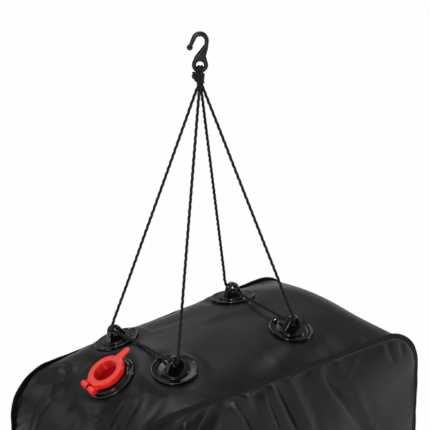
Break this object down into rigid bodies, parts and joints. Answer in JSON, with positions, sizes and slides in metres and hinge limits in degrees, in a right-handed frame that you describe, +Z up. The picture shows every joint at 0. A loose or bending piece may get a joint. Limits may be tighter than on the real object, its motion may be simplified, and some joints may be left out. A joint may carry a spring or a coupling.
{
  "type": "camp shower bag",
  "caption": "Hanging fabric water bag with a rope harness on welded lugs, an open hook, a hinged filler cap and a bottom outlet.",
  "frame": {"origin": "inside top of the hook's bend, where the hung bag rests on a branch or peg", "axes": "+Z up, X along the bag with the filler at its -X end, -Y towards the front panel"},
  "size_m": [0.4576, 0.2424, 0.6557],
  "materials": {
    "pvc_coated_fabric": "soft sheen",
    "moulded_pvc": "gloss",
    "moulded_fitting": "satin gloss",
    "red_vinyl": "satin gloss",
    "rubber": "matt",
    "hook_nylon": "satin",
    "rope": "matt"
  },
  "bodies": {
    "hook": {"hook": "hook_nylon"},
    "bag": {"back_panel": "pvc_coated_fabric", "front_panel": "pvc_coated_fabric", "gusset": "pvc_coated_fabric", "lug_front_left": "moulded_pvc", "lug_front_right": "moulded_pvc", "lug_rear_left": "moulded_pvc", "lug_rear_right": "moulded_pvc", "filler_base": "moulded_fitting", "filler_seal": "rubber", "outlet_base": "moulded_fitting", "outlet_washer": "rubber", "outlet_spigot": "moulded_fitting", "harness_knot": "rope", "rope_left": "rope", "rope_right": "rope"},
    "filler_cap": {"filler_cap": "red_vinyl"}
  },
  "joints": [
    {"name": "bag_swing", "type": "hinge", "parent": "hook", "child": "bag", "pos_m": [0, 0, -0.0324], "axis": [0.6428, 0.766, 0], "range_deg": [-40, 40]},
    {"name": "cap_hinge", "type": "hinge", "parent": "bag", "child": "filler_cap", "pos_m": [-0.15273, 0.00328, -0.36028], "axis": [-0.2018, -0.9794, -0.004], "range_deg": [0, 150]}
  ]
}
